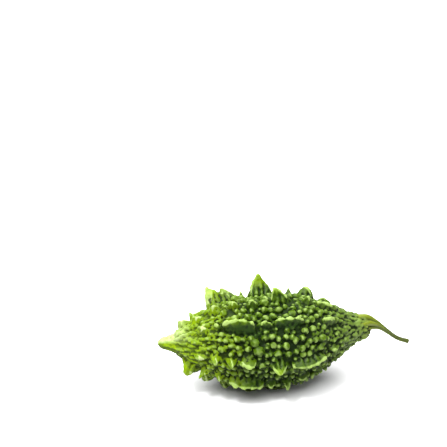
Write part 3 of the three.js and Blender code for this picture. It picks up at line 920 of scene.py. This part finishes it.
class GOURD_OT_skin(bpy.types.Operator):
    """Grow body, crests and warts together into one skin, and finish it"""

    bl_idname = "gourd.skin"
    bl_label = "Skin"

    def execute(self, context):
        sizes = context.scene.gourd_sizes
        parts = [bpy.data.objects[name] for name in ("gourd_body", "gourd_crests", "gourd_warts")]
        deselect_all()
        for part in parts:
            part.select_set(True)
        context.view_layer.objects.active = parts[0]
        bpy.ops.object.join()
        skin = context.object
        skin.name = "fruit_skin"
        cell = sizes.voxel * 1
        apply_modifier(skin, "REMESH", mode="VOXEL", voxel_size=cell, adaptivity=0, use_smooth_shade=True)
        keep_outer_shell(skin)
        for scale, strength in UNEVEN_GROWTH:
            uneven = bpy.data.textures.new("uneven growth", "CLOUDS")
            uneven.noise_scale = scale
            uneven.noise_depth = 1
            settings = {"texture": uneven, "texture_coords": "LOCAL", "mid_level": 0.47}
            apply_modifier(skin, "DISPLACE", strength=strength, **settings)
            bpy.data.textures.remove(uneven)
        apply_modifier(skin, "SMOOTH", factor=0.5, iterations=1)
        triangles = 2 * len(skin.data.polygons)
        if triangles > sizes.most_triangles:
            share = sizes.most_triangles / triangles
            apply_modifier(skin, "DECIMATE", ratio=share, use_collapse_triangulate=True)

        # Press it flat where it lies on the table.
        select_only(skin)
        bpy.ops.object.mode_set(mode="EDIT")
        bpy.ops.mesh.select_all(action="SELECT")
        bpy.ops.mesh.bisect(
            plane_co=(0, 0, TABLE_GAP), plane_no=(0, 0, 1), clear_inner=True, use_fill=True, threshold=1e-7
        )
        bpy.ops.mesh.select_all(action="SELECT")
        bpy.ops.mesh.quads_convert_to_tris()
        bpy.ops.mesh.select_all(action="DESELECT")
        bpy.ops.mesh.select_non_manifold()
        bpy.ops.object.mode_set(mode="OBJECT")
        if any(vertex.select for vertex in skin.data.vertices):
            raise RuntimeError("the skin isn't closed")
        bpy.ops.object.shade_smooth()
        skin_record(skin)
        skin.data.materials.clear()
        skin.data.materials.append(skin_material(context.scene.gourd_colours))
        if len(skin.data.polygons) < FEWEST_FACES:
            raise RuntimeError("the skin came out empty")
        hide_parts("fruit")
        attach(skin, "root")
        return {"FINISHED"}


class GOURD_OT_stem(bpy.types.Operator):
    """Model the ribbed stem: a flared root on the fruit, a bend, and a cut end"""

    bl_idname = "gourd.stem"
    bl_label = "Stem"

    def execute(self, context):
        depth = context.scene.gourd_sizes.stem_rib_depth
        stem = unit_tube("stem_skin", 40, 60)
        points = points_of(stem)
        share = np.clip(points[:, 0], 0, 1)
        roll = np.arctan2(points[:, 2], points[:, 1])
        stations = np.array([p[0] for p in STEM_ROUTE], float)
        heights = np.array([p[1] for p in STEM_ROUTE], float)
        chord = np.concatenate([[0], np.cumsum(np.hypot(np.diff(stations), np.diff(heights)))])
        chord /= chord[-1]
        x_at = smooth_curve(list(zip(chord, stations)))
        z_at = smooth_curve(list(zip(chord, heights)))
        radius_at = smooth_curve(STEM_RADIUS)
        step = 0.004
        dx = x_at(share + step) - x_at(share - step)
        dz = z_at(share + step) - z_at(share - step)
        size = np.hypot(dx, dz)
        dx, dz = dx / size, dz / size
        twist = 0.5 * share
        rib = np.cos(STEM_RIBS * (roll + twist) - 1.3)
        groove = np.clip(-rib, 0, 1) ** 1.5
        root = np.exp(-((share / 0.34) ** 2))
        radius = radius_at(share) * (1 + depth * rib * np.clip(share * 5, 0.5, 1) - 0.2 * root * groove)
        up = radius * np.sin(roll)
        side = radius * np.cos(roll)
        placed = np.stack(
            [TIP_X + x_at(share) - dz * up, PLANE_Y + side, z_at(share) + dx * up], axis=-1
        )
        set_points(stem, placed * MM)
        for name, values in (("along", share), ("groove", groove)):
            attribute = stem.data.attributes.new(name, "FLOAT", "POINT")
            attribute.data.foreach_set("value", values.astype(np.float32))
        select_only(stem)
        bpy.ops.object.mode_set(mode="EDIT")
        bpy.ops.mesh.select_all(action="SELECT")
        bpy.ops.mesh.normals_make_consistent(inside=False)
        bpy.ops.object.mode_set(mode="OBJECT")
        bpy.ops.object.shade_smooth_by_angle(angle=math.radians(50))
        stem.data.materials.clear()
        stem.data.materials.append(stem_material(context.scene.gourd_colours))
        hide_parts("stem")
        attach(stem, "root")
        return {"FINISHED"}


class GOURD_OT_stage(bpy.types.Operator):
    """Set a pale floor, a white surround, soft lights and the camera"""

    bl_idname = "gourd.stage"
    bl_label = "Stage"

    def execute(self, context):
        stage = context.scene.gourd_stage
        deselect_all()
        bpy.ops.mesh.primitive_plane_add(size=8, location=(0, 0, 0))
        floor = context.object
        floor.name = "floor"
        n = Nodes("pale floor")
        n.set(Base_Color=(*FLOOR_GREY, 1), Roughness=0.6, Specular_IOR_Level=0.15)
        floor.data.materials.append(n.material)

        world = bpy.data.worlds.new("white surround")
        world.use_nodes = True
        world.node_tree.nodes["Background"].inputs["Color"].default_value = (1, 1, 1, 1)
        world.node_tree.nodes["Background"].inputs["Strength"].default_value = stage.sky
        context.scene.world = world
        context.scene.view_settings.view_transform = "Standard"

        # Each light is a disk that faces the gourd: its name, place, size and power.
        middle = Vector((-0.01, 0, 0.02))
        for name, place, size, power in (
            ("key light", (-0.1, 0.03, 0.75), 1.6, stage.key_power),
            ("glint light", (-0.3, -0.22, 0.8), 0.14, 0.13 * stage.key_power),
            ("fill light", (0.4, -0.7, 0.6), 0.6, 0.02 * stage.key_power),
        ):
            light = bpy.data.lights.new(name, "AREA")
            light.shape = "DISK"
            light.size = size
            light.energy = power
            lamp = bpy.data.objects.new(name, light)
            lamp.location = place
            lamp.rotation_euler = (middle - Vector(place)).to_track_quat("-Z", "Y").to_euler()
            context.collection.objects.link(lamp)

        # The camera sees the gourd right of and below the middle of its picture, at the size it
        # has in the photo. It is turned until the gourd's middle falls on its pixel, seen along
        # the wanted direction.
        camera = bpy.data.objects.new("camera", bpy.data.cameras.new("camera"))
        context.collection.objects.link(camera)
        picture = PICTURE_SIDE / PIXELS_PER_MM * MM
        camera.data.sensor_width = SENSOR_SIDE
        camera.data.lens = SENSOR_SIDE * stage.distance / picture
        centre = PICTURE_SIDE / 2
        right, up = (SEEN_AT[0] - centre) / PICTURE_SIDE, (centre - SEEN_AT[1]) / PICTURE_SIDE
        target = Vector((0.5 * (CAD_BOX[0][0] + CAD_BOX[1][0]), PLANE_Y * MM, 0.5 * CAD_BOX[1][2]))
        towards = Vector((right * SENSOR_SIDE, up * SENSOR_SIDE, -camera.data.lens)).normalized()
        a, e = stage.azimuth, stage.elevation
        wanted = Vector((-math.sin(a) * math.cos(e), math.cos(a) * math.cos(e), -math.sin(e)))
        pan, tilt = a, e
        for _ in range(8):
            turned = Matrix.Rotation(pan, 3, "Z") @ Matrix.Rotation(math.pi / 2 - tilt, 3, "X")
            now = turned @ towards
            pan += math.atan2(-wanted.x, wanted.y) - math.atan2(-now.x, now.y)
            tilt += math.asin(-wanted.z) - math.asin(-now.z)
        turned = Matrix.Rotation(pan, 3, "Z") @ Matrix.Rotation(math.pi / 2 - tilt, 3, "X")
        camera.location = target - wanted * stage.distance
        camera.rotation_euler = turned.to_euler()
        camera.data.clip_start = 0.01
        camera.data.clip_end = 50
        context.scene.camera = camera
        return {"FINISHED"}


class GOURD_PT_panel(bpy.types.Panel):
    """Steps and settings of the gourd"""

    bl_idname = "GOURD_PT_panel"
    bl_label = "Bitter Gourd"
    bl_space_type = "VIEW_3D"
    bl_region_type = "UI"
    bl_category = "Gourd"

    def draw(self, context):
        column = self.layout.column()
        for operator in OPERATORS:
            column.operator(operator.bl_idname)
        for group in ("gourd_sizes", "gourd_colours", "gourd_stage"):
            settings = getattr(context.scene, group)
            for key in settings.bl_rna.properties.keys():
                if key not in ("rna_type", "name"):
                    column.prop(settings, key)


OPERATORS = (GOURD_OT_body, GOURD_OT_crests, GOURD_OT_warts, GOURD_OT_skin, GOURD_OT_stem, GOURD_OT_stage)
GROUPS = (GourdSizes, GourdColours, GourdStage)


def register():
    for made in (*GROUPS, *OPERATORS, GOURD_PT_panel):
        bpy.utils.register_class(made)
    bpy.types.Scene.gourd_sizes = bpy.props.PointerProperty(type=GourdSizes)
    bpy.types.Scene.gourd_colours = bpy.props.PointerProperty(type=GourdColours)
    bpy.types.Scene.gourd_stage = bpy.props.PointerProperty(type=GourdStage)


def unregister():
    del bpy.types.Scene.gourd_sizes
    del bpy.types.Scene.gourd_colours
    del bpy.types.Scene.gourd_stage
    for made in reversed((*GROUPS, *OPERATORS, GOURD_PT_panel)):
        bpy.utils.unregister_class(made)


def main():
    register()
    bpy.ops.gourd.body()
    bpy.ops.gourd.crests()
    bpy.ops.gourd.warts()
    bpy.ops.gourd.skin()
    bpy.ops.gourd.stem()
    bpy.ops.gourd.stage()


if __name__ == "__main__":
    main()
